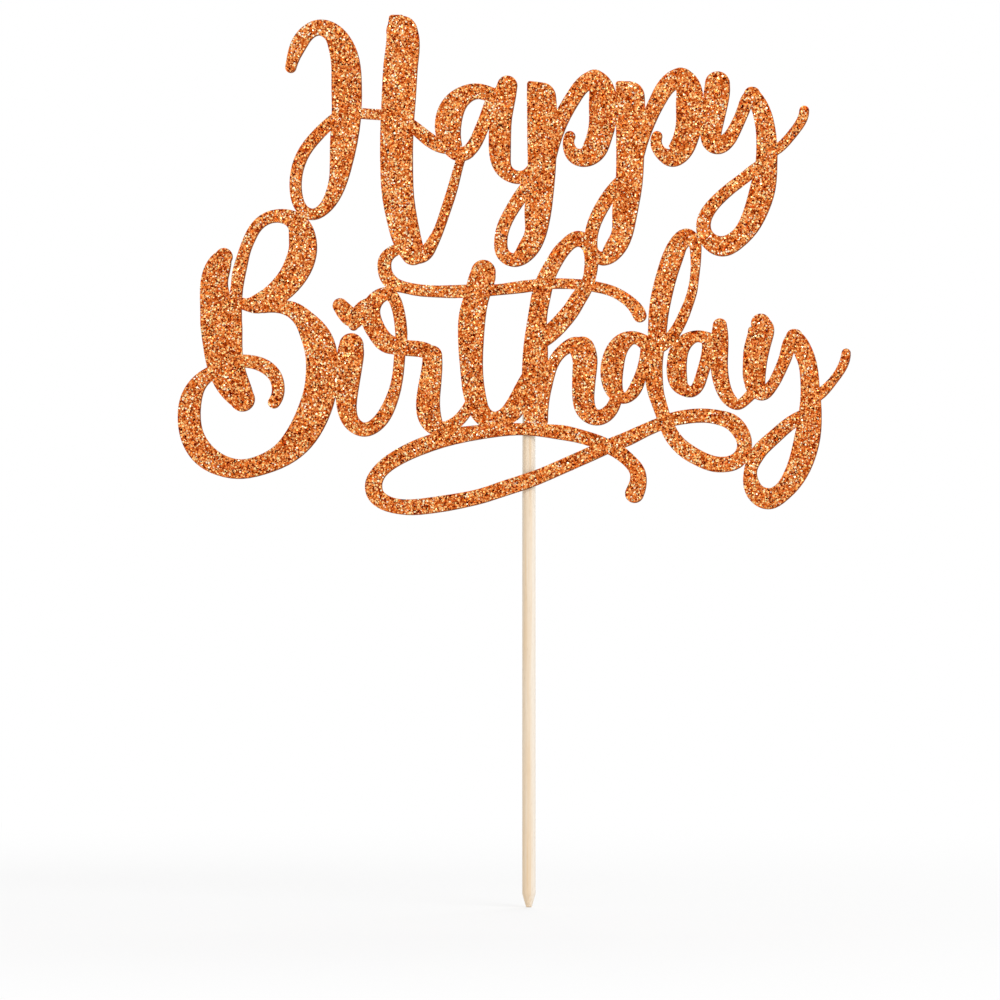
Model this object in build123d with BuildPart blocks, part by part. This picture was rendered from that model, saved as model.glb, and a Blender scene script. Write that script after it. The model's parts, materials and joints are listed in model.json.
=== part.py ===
from build123d import *
import os

# A glitter-card cake topper: one die-cut sheet of joined script lettering, glued to a round wooden stick.
# Millimetres. +Z is up and the lettering faces -Y. The origin is on the stick's axis, where the stick
# begins to stand clear of what it is pushed into.

# The lettering
lettering_width = 150.0
lettering_height = 112.3
lettering_rise = 7.25
downstroke_share = 0.0573
samples_per_span = 3

# The sheet
card_thickness = 0.45
glitter_thickness = 0.25

# The stick
stick_diameter = 3.0
stick_length = 120.0
glued_taper = 0.2
glued_flat_depth = 0.16
stick_point_diameter = 1.2
stick_point_length = 3.0
free_stretch_clearance = 0.5
stick_place_share = 0.522
stick_top_share = 0.29

# The dabs of glue
dab_reach = 0.5
dab_cover = 0.56
dab_rounding = 0.35
upper_dab_height = 4.4
middle_dab_height = 1.9
lower_dab_height = 1.5
upper_dab_share = 0.242
middle_dab_share = 0.171
lower_dab_share = 0.070

# Pen strokes. Each point has its place across the lettering, its height up it, and the width of the pen
# there as a share of the widest downstroke. A stroke that crosses itself is listed in runs that follow on.
# A stem with a square top has two short thin strokes, along its top and its side, that meet at the corner.

# Happy: H
h_left_shares = [
    (0.168, 0.890, 0.33), (0.172, 0.910, 0.39), (0.1795, 0.934, 0.48), (0.1912, 0.9565, 0.47),
    (0.210, 0.969, 0.47), (0.2295, 0.959, 0.58), (0.2417, 0.935, 0.74), (0.2493, 0.900, 0.85),
    (0.251, 0.860, 0.90), (0.251, 0.800, 0.88), (0.2475, 0.750, 0.83), (0.243, 0.700, 0.68),
    (0.239, 0.668, 0.56), (0.229, 0.631, 0.45), (0.215, 0.6065, 0.36), (0.200, 0.598, 0.34),
]
h_loop_shares = [
    (0.1863, 0.6065, 0.35), (0.1773, 0.630, 0.36), (0.1752, 0.663, 0.36), (0.180, 0.698, 0.37),
    (0.190, 0.726, 0.37), (0.204, 0.750, 0.37), (0.227, 0.780, 0.36), (0.242, 0.796, 0.34),
]
h_bar_shares = [(0.248, 0.802, 0.32), (0.285, 0.797, 0.32), (0.328, 0.794, 0.32)]
h_bar_end_shares = [
    (0.325, 0.790, 0.32), (0.345, 0.777, 0.36), (0.368, 0.752, 0.41), (0.396, 0.731, 0.38),
]
h_right_shares = [
    (0.3334, 0.9608, 0.93), (0.3349, 0.940, 0.99), (0.3320, 0.900, 1.02), (0.3295, 0.850, 1.02),
    (0.3255, 0.750, 0.98), (0.3255, 0.690, 0.97), (0.328, 0.630, 0.94), (0.334, 0.585, 0.90),
    (0.341, 0.548, 0.85), (0.350, 0.521, 0.72),
]
h_right_top_shares = [(0.3186, 0.9879, 0.18), (0.3318, 0.9882, 0.18)]
h_right_side_shares = [(0.3186, 0.9879, 0.18), (0.3156, 0.9593, 0.18)]
h_hairline_shares = [
    (0.352, 0.514, 0.40), (0.368, 0.520, 0.42), (0.3765, 0.536, 0.38), (0.386, 0.560, 0.31),
    (0.397, 0.600, 0.30), (0.409, 0.650, 0.30), (0.418, 0.695, 0.27), (0.424, 0.720, 0.27),
]

# Happy: a
first_a_bowl_shares = [
    (0.486, 0.830, 0.36), (0.468, 0.834, 0.45), (0.447, 0.842, 0.46), (0.4250, 0.833, 0.58),
    (0.4096, 0.8113, 0.735), (0.402, 0.777, 0.785), (0.405, 0.743, 0.68), (0.418, 0.719, 0.48),
    (0.432, 0.722, 0.40),
]
first_a_upstroke_shares = [
    (0.425, 0.717, 0.40), (0.438, 0.731, 0.40), (0.4495, 0.760, 0.40), (0.459, 0.790, 0.41),
    (0.468, 0.820, 0.43), (0.478, 0.840, 0.36),
]
first_a_stem_shares = [
    (0.490, 0.853, 0.60), (0.486, 0.830, 0.66), (0.4805, 0.790, 0.66), (0.479, 0.750, 0.66),
    (0.4795, 0.714, 0.63), (0.484, 0.690, 0.52), (0.493, 0.677, 0.43), (0.507, 0.671, 0.39),
    (0.525, 0.684, 0.35),
]

# Happy: both p
first_p_stem_shares = [
    (0.5409, 0.8305, 0.86), (0.5415, 0.815, 0.88), (0.5415, 0.760, 0.87), (0.5415, 0.700, 0.84),
    (0.5395, 0.650, 0.80), (0.5353, 0.600, 0.79), (0.5311, 0.556, 0.64), (0.519, 0.526, 0.60),
    (0.500, 0.507, 0.41),
]
first_p_top_shares = [(0.5237, 0.8565, 0.17), (0.5409, 0.8538, 0.17)]
first_p_side_shares = [(0.5237, 0.8565, 0.17), (0.5234, 0.8284, 0.17)]
first_p_loop_shares = [
    (0.485, 0.517, 0.40), (0.4803, 0.543, 0.39), (0.485, 0.575, 0.39), (0.494, 0.600, 0.39),
    (0.507, 0.628, 0.42), (0.519, 0.650, 0.42), (0.535, 0.674, 0.36),
]
second_p_stem_shares = [
    (0.6725, 0.832, 0.86), (0.673, 0.815, 0.87), (0.673, 0.760, 0.85), (0.6725, 0.700, 0.82),
    (0.6705, 0.655, 0.80), (0.6645, 0.600, 0.75), (0.6596, 0.555, 0.63), (0.6480, 0.527, 0.60),
    (0.632, 0.510, 0.42),
]
second_p_top_shares = [(0.6554, 0.8562, 0.17), (0.6724, 0.8558, 0.17)]
second_p_side_shares = [(0.6554, 0.8562, 0.17), (0.6548, 0.8284, 0.17)]
second_p_loop_shares = [
    (0.619, 0.518, 0.38), (0.6140, 0.541, 0.39), (0.6165, 0.568, 0.40), (0.624, 0.595, 0.41),
    (0.6360, 0.6235, 0.42), (0.6485, 0.647, 0.41), (0.665, 0.670, 0.36),
]
first_p_upstroke_shares = [
    (0.5499, 0.7034, 0.47), (0.556, 0.739, 0.50), (0.569, 0.784, 0.48), (0.579, 0.809, 0.47),
    (0.5905, 0.8341, 0.47), (0.6025, 0.8544, 0.486), (0.6171, 0.8643, 0.58),
]
first_p_bowl_shares = [
    (0.6196, 0.8625, 0.67), (0.6290, 0.8484, 0.747), (0.6320, 0.820, 0.827), (0.6320, 0.785, 0.816),
    (0.6270, 0.752, 0.75), (0.6183, 0.7244, 0.718), (0.605, 0.711, 0.58), (0.5906, 0.7141, 0.475),
    (0.5820, 0.7306, 0.368), (0.583, 0.752, 0.33),
]
second_p_upstroke_shares = [
    (0.6799, 0.7034, 0.47), (0.686, 0.739, 0.50), (0.699, 0.784, 0.48), (0.7083, 0.8093, 0.47),
    (0.7184, 0.8357, 0.51), (0.7303, 0.8569, 0.546), (0.7470, 0.8675, 0.629),
]
second_p_bowl_shares = [
    (0.7496, 0.8641, 0.706), (0.7587, 0.8494, 0.747), (0.7613, 0.820, 0.827), (0.7613, 0.785, 0.816),
    (0.7560, 0.752, 0.75), (0.7465, 0.7244, 0.718), (0.7336, 0.711, 0.58), (0.7223, 0.7155, 0.421),
    (0.7128, 0.731, 0.35), (0.7125, 0.752, 0.32),
]

# Happy: y
first_y_left_shares = [
    (0.8022, 0.8562, 0.74), (0.8015, 0.840, 0.77), (0.799, 0.820, 0.77), (0.794, 0.785, 0.73),
    (0.7925, 0.750, 0.60),
]
first_y_turn_shares = [
    (0.789, 0.757, 0.40), (0.7915, 0.741, 0.48), (0.8015, 0.7345, 0.53), (0.8165, 0.7435, 0.46),
    (0.829, 0.769, 0.39), (0.8395, 0.800, 0.38), (0.848, 0.826, 0.42), (0.855, 0.836, 0.42),
]
first_y_stem_shares = [
    (0.853, 0.835, 0.46), (0.8603, 0.8223, 0.485), (0.8681, 0.7995, 0.54), (0.8732, 0.770, 0.575),
    (0.8755, 0.735, 0.62), (0.875, 0.700, 0.65), (0.8697, 0.650, 0.75), (0.8595, 0.605, 0.71),
    (0.848, 0.573, 0.63), (0.831, 0.547, 0.57), (0.8086, 0.534, 0.60),
]
first_y_loop_shares = [
    (0.793, 0.542, 0.53), (0.7825, 0.563, 0.45), (0.783, 0.588, 0.42), (0.7925, 0.611, 0.39),
    (0.807, 0.632, 0.37), (0.824, 0.6515, 0.36), (0.842, 0.6695, 0.36), (0.860, 0.688, 0.37),
    (0.876, 0.700, 0.36),
]
first_y_exit_shares = [
    (0.877, 0.718, 0.32), (0.8955, 0.731, 0.30), (0.908, 0.748, 0.29), (0.9205, 0.769, 0.29),
    (0.929, 0.789, 0.30), (0.931, 0.803, 0.29),
]

# Birthday: B
b_stem_shares = [
    (0.0685, 0.514, 0.52), (0.0615, 0.497, 0.72), (0.0548, 0.470, 0.80), (0.056, 0.430, 0.94),
    (0.0634, 0.390, 1.22), (0.0660, 0.350, 1.19), (0.071, 0.300, 1.10), (0.0785, 0.270, 1.02),
    (0.0870, 0.250, 0.92), (0.0960, 0.231, 0.74),
]
b_upper_bowl_shares = [
    (0.0848, 0.385, 0.42), (0.0846, 0.415, 0.42), (0.088, 0.455, 0.37), (0.0908, 0.481, 0.40),
    (0.0948, 0.503, 0.38), (0.100, 0.528, 0.35), (0.1067, 0.550, 0.35), (0.1165, 0.573, 0.35),
    (0.131, 0.589, 0.36), (0.150, 0.595, 0.40), (0.168, 0.5895, 0.51), (0.1793, 0.576, 0.67),
    (0.1848, 0.555, 0.79),
]
b_waist_shares = [
    (0.186, 0.528, 0.84), (0.1805, 0.500, 0.85), (0.170, 0.474, 0.80), (0.153, 0.448, 0.73),
    (0.132, 0.4275, 0.65), (0.114, 0.419, 0.53), (0.104, 0.4186, 0.40), (0.0936, 0.422, 0.344),
]
b_lower_bowl_shares = [
    (0.128, 0.414, 0.36), (0.150, 0.414, 0.36), (0.165, 0.411, 0.46), (0.1745, 0.405, 0.52),
    (0.186, 0.392, 0.60), (0.1992, 0.369, 0.80), (0.2092, 0.343, 0.92), (0.2143, 0.310, 0.95),
    (0.2145, 0.280, 0.96), (0.2115, 0.245, 0.97), (0.2035, 0.210, 0.97), (0.193, 0.179, 0.94),
    (0.177, 0.147, 0.86), (0.155, 0.120, 0.71), (0.127, 0.1015, 0.60), (0.094, 0.092, 0.58),
    (0.0635, 0.100, 0.64), (0.038, 0.122, 0.71), (0.0215, 0.157, 0.70), (0.0167, 0.195, 0.68),
    (0.0200, 0.233, 0.63), (0.0320, 0.264, 0.49), (0.047, 0.281, 0.42), (0.064, 0.291, 0.40),
]
b_curl_shares = [
    (0.086, 0.307, 0.40), (0.1055, 0.306, 0.39), (0.1205, 0.3015, 0.41), (0.134, 0.292, 0.42),
    (0.1445, 0.277, 0.40), (0.149, 0.258, 0.38), (0.1485, 0.240, 0.37), (0.143, 0.2245, 0.36),
]

# Birthday: i and its heart
i_stem_shares = [
    (0.2582, 0.338, 0.72), (0.2571, 0.322, 0.79), (0.256, 0.300, 0.75), (0.252, 0.255, 0.69),
    (0.251, 0.220, 0.60), (0.260, 0.183, 0.48), (0.277, 0.1705, 0.42), (0.2988, 0.185, 0.425),
    (0.315, 0.2194, 0.395), (0.3249, 0.2598, 0.34), (0.329, 0.300, 0.33), (0.331, 0.335, 0.33),
]
heart_left_shares = [
    (0.2415, 0.4165, 0.45), (0.2505, 0.402, 0.53), (0.2592, 0.3855, 0.45), (0.2615, 0.376, 0.27),
]
heart_right_shares = [
    (0.2612, 0.376, 0.27), (0.2665, 0.390, 0.47), (0.275, 0.407, 0.53), (0.288, 0.415, 0.53),
]

# Birthday: r
r_loop_shares = [
    (0.313, 0.441, 0.38), (0.2965, 0.431, 0.47), (0.2875, 0.410, 0.55), (0.289, 0.384, 0.60),
    (0.298, 0.361, 0.58), (0.310, 0.343, 0.58), (0.3235, 0.3365, 0.52), (0.340, 0.3325, 0.47),
    (0.356, 0.331, 0.47), (0.370, 0.3265, 0.46),
]
r_loop_end_shares = [
    (0.306, 0.440, 0.38), (0.3195, 0.434, 0.37), (0.327, 0.412, 0.36), (0.3304, 0.390, 0.36),
    (0.3323, 0.365, 0.36), (0.333, 0.335, 0.33),
]
r_stem_shares = [
    (0.3785, 0.318, 0.58), (0.3785, 0.300, 0.60), (0.376, 0.270, 0.65), (0.373, 0.240, 0.69),
    (0.3725, 0.210, 0.71), (0.379, 0.184, 0.63), (0.392, 0.172, 0.47), (0.407, 0.178, 0.40),
    (0.426, 0.2015, 0.36), (0.440, 0.232, 0.36),
]

# Birthday: t and the bar that runs through t and h
t_stem_shares = [
    (0.4545, 0.483, 0.73), (0.4530, 0.473, 0.78), (0.449, 0.455, 0.78), (0.444, 0.432, 0.75),
    (0.4385, 0.400, 0.79), (0.436, 0.355, 0.77), (0.4362, 0.310, 0.70), (0.4378, 0.276, 0.66),
    (0.4398, 0.251, 0.66), (0.4436, 0.228, 0.63), (0.4528, 0.200, 0.58), (0.468, 0.188, 0.55),
    (0.485, 0.194, 0.54), (0.4985, 0.209, 0.61), (0.5085, 0.233, 0.58), (0.517, 0.261, 0.49),
    (0.527, 0.288, 0.36),
]
cross_bar_shares = [
    (0.334, 0.530, 0.34), (0.3165, 0.521, 0.36), (0.3085, 0.507, 0.40), (0.3075, 0.490, 0.41),
    (0.311, 0.474, 0.43), (0.320, 0.461, 0.42), (0.335, 0.4535, 0.35), (0.350, 0.449, 0.35),
    (0.3826, 0.4447, 0.35), (0.4156, 0.4445, 0.39), (0.445, 0.446, 0.37), (0.476, 0.448, 0.33),
    (0.4985, 0.4515, 0.35), (0.5225, 0.4555, 0.36), (0.545, 0.459, 0.33), (0.570, 0.4602, 0.31),
    (0.5905, 0.459, 0.31), (0.610, 0.4565, 0.32), (0.626, 0.4525, 0.32), (0.644, 0.446, 0.32),
    (0.665, 0.431, 0.34), (0.6765, 0.418, 0.37), (0.6835, 0.406, 0.41), (0.687, 0.3965, 0.40),
]

# Birthday: h
second_h_stem_shares = [
    (0.533, 0.189, 0.70), (0.532, 0.220, 0.76), (0.5315, 0.300, 0.77), (0.5325, 0.345, 0.70),
    (0.5355, 0.400, 0.56), (0.5410, 0.440, 0.57), (0.5475, 0.470, 0.52), (0.559, 0.501, 0.47),
    (0.5705, 0.525, 0.46), (0.5815, 0.540, 0.44), (0.5945, 0.549, 0.47),
]
second_h_return_shares = [
    (0.6075, 0.541, 0.44), (0.6145, 0.518, 0.41), (0.6145, 0.492, 0.40), (0.611, 0.467, 0.39),
    (0.604, 0.4465, 0.44), (0.5955, 0.430, 0.48), (0.5862, 0.4095, 0.50), (0.576, 0.392, 0.52),
    (0.560, 0.369, 0.53), (0.538, 0.347, 0.53),
]
second_h_arch_shares = [
    (0.541, 0.205, 0.39), (0.5435, 0.235, 0.39), (0.5495, 0.266, 0.35), (0.5575, 0.300, 0.34),
    (0.565, 0.317, 0.35), (0.576, 0.331, 0.38), (0.588, 0.338, 0.47), (0.601, 0.3335, 0.50),
]
second_h_leg_shares = [
    (0.6013, 0.330, 0.75), (0.6055, 0.308, 0.74), (0.6045, 0.281, 0.71), (0.6033, 0.256, 0.68),
    (0.603, 0.236, 0.65), (0.6055, 0.215, 0.62), (0.613, 0.2005, 0.55), (0.626, 0.1945, 0.47),
    (0.6395, 0.203, 0.43), (0.6475, 0.217, 0.39), (0.652, 0.234, 0.36),
]

# Birthday: d bowl
d_bowl_shares = [
    (0.704, 0.333, 0.42), (0.693, 0.3445, 0.43), (0.680, 0.3525, 0.38), (0.6665, 0.348, 0.50),
    (0.6555, 0.334, 0.60), (0.648, 0.310, 0.67), (0.6452, 0.283, 0.67), (0.647, 0.257, 0.58),
    (0.6555, 0.2375, 0.43), (0.6655, 0.233, 0.33),
]
d_upstroke_shares = [
    (0.6745, 0.2405, 0.36), (0.6832, 0.2595, 0.385), (0.691, 0.291, 0.33), (0.6959, 0.320, 0.35),
    (0.6975, 0.338, 0.38),
]

# The swash under the words, which loops round at the right and rises as the stem of d
swash_hook_shares = [
    (0.679, 0.0435, 0.56), (0.6825, 0.055, 0.54), (0.6848, 0.070, 0.50), (0.683, 0.0875, 0.46),
    (0.6745, 0.104, 0.42), (0.658, 0.1235, 0.43), (0.640, 0.137, 0.42), (0.620, 0.148, 0.42),
    (0.601, 0.156, 0.41), (0.586, 0.161, 0.43), (0.5715, 0.1645, 0.44), (0.555, 0.167, 0.41),
    (0.532, 0.170, 0.37), (0.505, 0.1713, 0.36), (0.470, 0.1685, 0.40), (0.436, 0.163, 0.45),
    (0.410, 0.157, 0.49), (0.388, 0.149, 0.49), (0.365, 0.1387, 0.50), (0.340, 0.1242, 0.48),
    (0.3175, 0.107, 0.46), (0.298, 0.083, 0.46), (0.2912, 0.060, 0.51),
]
swash_rise_shares = [
    (0.2945, 0.041, 0.50), (0.3060, 0.0270, 0.47), (0.325, 0.0185, 0.45), (0.349, 0.0163, 0.47),
    (0.3715, 0.0190, 0.48), (0.400, 0.0245, 0.48), (0.427, 0.031, 0.46), (0.455, 0.040, 0.45),
    (0.483, 0.0525, 0.46), (0.511, 0.0645, 0.46), (0.538, 0.0775, 0.44), (0.564, 0.0925, 0.43),
    (0.5937, 0.110, 0.43), (0.620, 0.1255, 0.43), (0.645, 0.140, 0.42), (0.670, 0.153, 0.43),
    (0.6864, 0.1637, 0.41), (0.700, 0.172, 0.39), (0.715, 0.1805, 0.39), (0.731, 0.189, 0.40),
    (0.7515, 0.195, 0.42), (0.766, 0.1975, 0.42), (0.779, 0.1982, 0.42), (0.792, 0.1972, 0.42),
    (0.8055, 0.194, 0.44), (0.8215, 0.1865, 0.48), (0.8345, 0.170, 0.49), (0.842, 0.147, 0.45),
]
d_tail_shares = [
    (0.8405, 0.125, 0.45), (0.8305, 0.1085, 0.47), (0.813, 0.1012, 0.46), (0.796, 0.1026, 0.47),
    (0.776, 0.1126, 0.47), (0.758, 0.1265, 0.48), (0.7435, 0.143, 0.46), (0.733, 0.162, 0.45),
    (0.7245, 0.187, 0.42), (0.716, 0.221, 0.44), (0.7115, 0.240, 0.47), (0.7082, 0.268, 0.52),
    (0.7073, 0.300, 0.54), (0.7120, 0.350, 0.54), (0.7146, 0.3968, 0.59), (0.720, 0.440, 0.62),
    (0.7277, 0.480, 0.62), (0.738, 0.520, 0.61), (0.7465, 0.542, 0.55), (0.7570, 0.5525, 0.50),
]
d_return_shares = [
    (0.7665, 0.545, 0.41), (0.770, 0.525, 0.34), (0.770, 0.500, 0.30), (0.768, 0.470, 0.27),
    (0.765, 0.445, 0.29), (0.7592, 0.420, 0.30), (0.7532, 0.400, 0.33), (0.7455, 0.378, 0.34),
    (0.7355, 0.357, 0.36), (0.717, 0.333, 0.33),
]

# Birthday: a
second_a_bowl_shares = [
    (0.803, 0.339, 0.45), (0.788, 0.350, 0.41), (0.773, 0.3555, 0.35), (0.757, 0.347, 0.45),
    (0.7465, 0.330, 0.55), (0.742, 0.303, 0.59), (0.7420, 0.280, 0.59), (0.746, 0.260, 0.52),
    (0.7545, 0.2485, 0.38), (0.764, 0.2455, 0.33),
]
second_a_upstroke_shares = [
    (0.7722, 0.2545, 0.35), (0.778, 0.273, 0.36), (0.7835, 0.297, 0.37), (0.7893, 0.325, 0.42),
    (0.7905, 0.345, 0.46),
]
second_a_stem_shares = [
    (0.8058, 0.377, 0.42), (0.8058, 0.362, 0.49), (0.805, 0.325, 0.53), (0.805, 0.293, 0.51),
    (0.8073, 0.270, 0.49), (0.8125, 0.247, 0.45), (0.821, 0.229, 0.40), (0.832, 0.220, 0.32),
    (0.844, 0.229, 0.31), (0.856, 0.245, 0.36),
]

# Birthday: y
second_y_left_shares = [
    (0.8665, 0.381, 0.58), (0.8675, 0.373, 0.74), (0.8655, 0.355, 0.76), (0.8605, 0.330, 0.76),
    (0.8576, 0.300, 0.71), (0.8575, 0.268, 0.645), (0.862, 0.251, 0.52),
]
second_y_turn_shares = [
    (0.8535, 0.258, 0.42), (0.860, 0.247, 0.42), (0.868, 0.243, 0.45), (0.880, 0.2525, 0.37),
    (0.890, 0.273, 0.35), (0.8975, 0.2945, 0.36), (0.9045, 0.319, 0.39), (0.910, 0.343, 0.42),
    (0.918, 0.3555, 0.42),
]
second_y_stem_shares = [
    (0.9155, 0.3545, 0.46), (0.922, 0.344, 0.52), (0.9285, 0.328, 0.55), (0.935, 0.306, 0.54),
    (0.9385, 0.280, 0.55), (0.940, 0.250, 0.57), (0.9405, 0.2266, 0.62), (0.9395, 0.195, 0.70),
    (0.9365, 0.160, 0.76), (0.932, 0.132, 0.76), (0.9225, 0.094, 0.70), (0.9105, 0.0652, 0.62),
    (0.895, 0.043, 0.57), (0.878, 0.0333, 0.63),
]
second_y_loop_shares = [
    (0.861, 0.043, 0.57), (0.8520, 0.066, 0.47), (0.8515, 0.090, 0.39), (0.8575, 0.1125, 0.44),
    (0.8681, 0.133, 0.45), (0.8804, 0.1483, 0.44), (0.896, 0.1672, 0.42), (0.9112, 0.1835, 0.41),
    (0.932, 0.198, 0.39),
]
second_y_exit_shares = [
    (0.945, 0.233, 0.35), (0.962, 0.2495, 0.31), (0.9725, 0.265, 0.27), (0.9815, 0.281, 0.27),
    (0.9905, 0.304, 0.29), (0.9932, 0.322, 0.27),
]

# Each entry is one stroke, as its runs in order
pen_strokes = [
    [h_left_shares, h_loop_shares],
    [h_bar_shares],
    [h_bar_end_shares],
    [h_right_shares],
    [h_right_top_shares],
    [h_right_side_shares],
    [h_hairline_shares],
    [first_a_bowl_shares],
    [first_a_upstroke_shares],
    [first_a_stem_shares],
    [first_p_stem_shares, first_p_loop_shares],
    [first_p_top_shares],
    [first_p_side_shares],
    [second_p_stem_shares, second_p_loop_shares],
    [second_p_top_shares],
    [second_p_side_shares],
    [first_p_upstroke_shares],
    [first_p_bowl_shares],
    [second_p_upstroke_shares],
    [second_p_bowl_shares],
    [first_y_left_shares],
    [first_y_turn_shares],
    [first_y_stem_shares, first_y_loop_shares],
    [first_y_exit_shares],
    [b_stem_shares],
    [b_upper_bowl_shares, b_waist_shares],
    [b_lower_bowl_shares],
    [b_curl_shares],
    [i_stem_shares],
    [heart_left_shares],
    [heart_right_shares],
    [r_loop_shares],
    [r_loop_end_shares],
    [r_stem_shares],
    [t_stem_shares],
    [cross_bar_shares],
    [second_h_stem_shares, second_h_return_shares],
    [second_h_arch_shares],
    [second_h_leg_shares],
    [d_bowl_shares, d_upstroke_shares],
    [swash_hook_shares, swash_rise_shares, d_tail_shares, d_return_shares],
    [second_a_bowl_shares, second_a_upstroke_shares],
    [second_a_stem_shares],
    [second_y_left_shares],
    [second_y_turn_shares],
    [second_y_stem_shares, second_y_loop_shares],
    [second_y_exit_shares],
]


downstroke_width = (lettering_width + lettering_height) / 2 * downstroke_share


def place_across(x_share):
    return (x_share - stick_place_share) * lettering_width


def place_up(z_share):
    return lettering_rise + z_share * lettering_height


def pen_stroke(runs):
    # The middle line is a smooth curve whose third coordinate is half the pen's width. Each run is the
    # band that the pen leaves on both sides of it, with round ends where the stroke starts and stops.
    points = [
        Vector(place_across(x), place_up(z), pen * downstroke_width / 2)
        for run in runs
        for x, z, pen in run
    ]
    middle = Spline(*points, mode=Mode.PRIVATE)
    joins = [0]
    for run in runs:
        joins.append(joins[-1] + len(run))
    ends = [0] + [join - 1 for join in joins[1:]]
    for start, end in zip(ends, ends[1:]):
        first = middle.param_at_point(points[start])
        last = middle.param_at_point(points[end])
        count = (end - start) * samples_per_span
        left = []
        right = []
        for sample in range(count + 1):
            spot = first + (last - first) * sample / count
            at = middle.position_at(spot)
            along = middle.tangent_at(spot)
            across = Vector(-along.Y, along.X).normalized() * at.Z
            left.append(Vector(at.X, at.Y) + across)
            right.append(Vector(at.X, at.Y) - across)
        with BuildLine() as band:
            Spline(*left)
            Spline(*right)
            pen_end(middle, points[start], left[0], right[0], -1 if start == 0 else 0)
            pen_end(middle, points[end], left[-1], right[-1], 1 if end == len(points) - 1 else 0)
        make_face(band.edges())


def pen_end(middle, point, left, right, outward):
    # A round end stands out by half the pen's width. A run that goes on is cut straight across.
    if outward == 0:
        Line(left, right)
    else:
        along = middle.tangent_at(middle.param_at_point(point))
        tip = Vector(point.X, point.Y) + Vector(along.X, along.Y).normalized() * point.Z * outward
        ThreePointArc(left, tip, right)


# The die-cut outline, shared by the card and its glitter
with BuildSketch() as lettering:
    for runs in pen_strokes:
        pen_stroke(runs)

stick_radius = stick_diameter / 2
stick_top_radius = stick_radius - glued_taper / 2
flat_place = stick_radius - glued_flat_depth
stick_top = place_up(stick_top_share)
stick_bottom = stick_top - stick_length
dab_width = stick_diameter + 2 * dab_reach
dab_thickness = flat_place + stick_radius + dab_cover
free_stretch_top = place_up(lower_dab_share) - downstroke_width / 2 - free_stretch_clearance

# Card
with BuildPart() as card_sheet:
    with BuildSketch(Plane.XZ.offset(flat_place)):
        add(lettering.sketch_local)
    extrude(amount=card_thickness)
card_sheet.part.label = "card_sheet"

# Glitter, all over the front of the card
with BuildPart() as glitter_coat:
    with BuildSketch(Plane.XZ.offset(flat_place + card_thickness)):
        add(lettering.sketch_local)
    extrude(amount=glitter_thickness)
glitter_coat.part.label = "glitter_coat"

# Stick: round below, sanded to a slight taper with a flat at the front where the card is glued on
with BuildPart() as stick:
    with BuildSketch(Plane.XZ):
        with BuildLine():
            Polyline(
                (0, stick_bottom),
                (stick_point_diameter / 2, stick_bottom),
                (stick_radius, stick_bottom + stick_point_length),
                (stick_radius, free_stretch_top),
                (stick_top_radius, stick_top),
                (0, stick_top),
                close=True,
            )
        make_face()
    revolve(axis=Axis.Z)
    with BuildSketch(Plane.XZ.offset(flat_place)):
        with Locations((0, (free_stretch_top + stick_top) / 2)):
            Rectangle(stick_diameter, stick_top - free_stretch_top)
    extrude(amount=glued_flat_depth, mode=Mode.SUBTRACT)
stick.part.label = "stick"


def glue_dab(height_share, dab_height):
    # A mound over the stick, flat against the back of the card
    with BuildPart() as dab:
        with BuildSketch(Plane.XY.offset(place_up(height_share) - dab_height / 2)):
            with BuildLine():
                mound = ThreePointArc(
                    (dab_width / 2, -flat_place),
                    (0, dab_thickness - flat_place),
                    (-dab_width / 2, -flat_place),
                )
                Line(mound @ 1, mound @ 0)
            make_face()
        extrude(amount=dab_height)
        rounded = dab.edges().filter_by(GeomType.CIRCLE)
        fillet(rounded, dab_rounding)
        add(stick.part, mode=Mode.SUBTRACT)
    return dab


upper_glue = glue_dab(upper_dab_share, upper_dab_height)
upper_glue.part.label = "upper_glue"
middle_glue = glue_dab(middle_dab_share, middle_dab_height)
middle_glue.part.label = "middle_glue"
lower_glue = glue_dab(lower_dab_share, lower_dab_height)
lower_glue.part.label = "lower_glue"

os.makedirs("parts", exist_ok=True)
for piece in (card_sheet, glitter_coat, stick, upper_glue, middle_glue, lower_glue):
    export_step(piece.part, f"parts/{piece.part.label}.step")
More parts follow.
